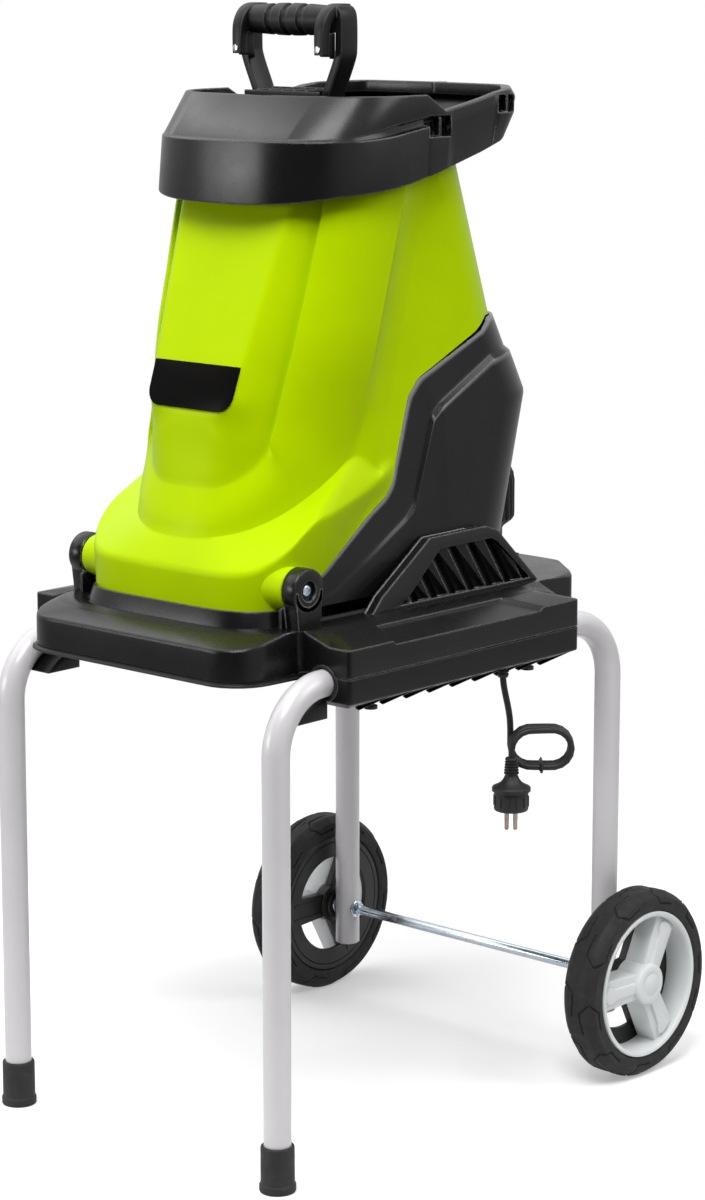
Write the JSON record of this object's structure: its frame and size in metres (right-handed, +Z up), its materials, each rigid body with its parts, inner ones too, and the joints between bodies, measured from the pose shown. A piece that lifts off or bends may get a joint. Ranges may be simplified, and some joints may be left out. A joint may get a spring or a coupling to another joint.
{
  "type": "garden shredder",
  "caption": "Electric garden shredder with a tilting hopper, pusher, belt-driven blade disc and tied mains lead, on a bent tube stand with two feet and transport wheels.",
  "frame": {"origin": "on the floor under the middle of the machine, between feet and wheels", "axes": "+Z up, -Y towards the side with the feet and the blank badge, +X towards the mains lead"},
  "size_m": [0.4696, 0.575, 1.029],
  "materials": {
    "green_plastic": "satin moulded",
    "black_plastic": "fine grain moulded",
    "under_plastic": "moulded",
    "handle_plastic": "moulded",
    "badge": "gloss, blank",
    "tube_paint": "gloss powder coat",
    "zinc": "zinc plated",
    "steel": "ground",
    "motor_metal": "painted",
    "foot_rubber": "matte",
    "belt_rubber": "matte",
    "cord_rubber": "satin",
    "pin_brass": "polished",
    "tyre_rubber": "matte",
    "wheel_black": "moulded",
    "wheel_grey": "satin",
    "switch_red": "satin",
    "switch_white": "satin"
  },
  "bodies": {
    "base": {"upper_housing": "black_plastic", "lower_housing": "under_plastic", "chamber_plate": "under_plastic", "hinge_bracket_left": "black_plastic", "hinge_bracket_right": "black_plastic", "hinge_screws": "zinc", "vent_panel_left": "black_plastic", "vent_panel_right": "black_plastic", "leg_front_left": "tube_paint", "leg_front_right": "tube_paint", "leg_rear_left": "tube_paint", "leg_rear_right": "tube_paint", "foot_caps": "foot_rubber", "leg_screws": "zinc", "axle": "zinc", "axle_washers": "zinc", "motor_case": "motor_metal", "drive_belt": "belt_rubber", "shaft_bearings": "steel", "belt_cover": "under_plastic", "switch_box": "under_plastic", "safety_switch": "under_plastic", "cord_gland": "cord_rubber", "cord": "cord_rubber", "cord_hank": "cord_rubber", "cord_tie": "cord_rubber", "plug_body": "cord_rubber", "plug_pins": "pin_brass", "housing_screws": "zinc", "lock_post": "black_plastic"},
    "hopper": {"front_shell": "green_plastic", "rear_shell": "black_plastic", "funnel_cover": "black_plastic", "feed_chute": "under_plastic", "badge_plate": "badge", "lock_bracket": "black_plastic", "hopper_screws": "zinc"},
    "lock": {"lock_knob": "handle_plastic", "lock_screw": "zinc"},
    "pusher": {"pusher_frame": "handle_plastic", "pusher_grip": "handle_plastic", "pusher_screws": "zinc"},
    "wheel_left": {"wheel_core_left": "wheel_black", "tyre_left": "tyre_rubber", "wheel_cover_left": "wheel_grey"},
    "wheel_right": {"wheel_core_right": "wheel_black", "tyre_right": "tyre_rubber", "wheel_cover_right": "wheel_grey"},
    "motor_rotor": {"motor_armature": "motor_metal", "motor_pulley": "steel"},
    "blade_rotor": {"blade_shaft": "steel", "blade_pulley": "steel", "blade_disc": "steel", "blades": "steel", "blade_screws": "steel"},
    "rocker": {"power_rocker": "switch_red"},
    "reset": {"reset_button": "switch_white"},
    "plunger": {"safety_plunger": "switch_red"}
  },
  "joints": [
    {"name": "hopper_tilt", "type": "hinge", "parent": "base", "child": "hopper", "pos_m": [0, -0.2, 0.528], "axis": [1, 0, 0], "range_deg": [0, 65]},
    {"name": "pusher_lift", "type": "slide", "parent": "hopper", "child": "pusher", "axis": [0, 0, 1], "range_m": [0, 0.25]},
    {"name": "lock_turn", "type": "hinge", "parent": "hopper", "child": "lock", "pos_m": [0, 0.192, 0.54], "axis": [0, 0, 1], "continuous": true},
    {"name": "wheel_left_spin", "type": "hinge", "parent": "base", "child": "wheel_left", "pos_m": [-0.208, 0.195, 0.0925], "axis": [1, 0, 0], "continuous": true},
    {"name": "wheel_right_spin", "type": "hinge", "parent": "base", "child": "wheel_right", "pos_m": [0.208, 0.195, 0.0925], "axis": [1, 0, 0], "continuous": true},
    {"name": "motor_spin", "type": "hinge", "parent": "base", "child": "motor_rotor", "pos_m": [0, 0.024, 0.5], "axis": [0, 0, 1], "continuous": true},
    {"name": "blade_spin", "type": "hinge", "parent": "base", "child": "blade_rotor", "pos_m": [0, -0.118, 0.48], "axis": [0, 0, 1], "continuous": true},
    {"name": "rocker_tilt", "type": "hinge", "parent": "base", "child": "rocker", "pos_m": [-0.057, 0.229, 0.4715], "axis": [1, 0, 0], "range_deg": [-12, 12]},
    {"name": "reset_press", "type": "slide", "parent": "base", "child": "reset", "axis": [0, -1, 0], "range_m": [0, 0.0025], "stiffness_N_per_m": 300, "springref_m": -0.001},
    {"name": "plunger_press", "type": "slide", "parent": "base", "child": "plunger", "axis": [0, 0, -1], "range_m": [0, 0.003], "stiffness_N_per_m": 300, "springref_m": -0.001}
  ],
  "couplings": [
    {"joint": "blade_spin", "follows": "motor_spin", "ratio": 0.31111}
  ]
}
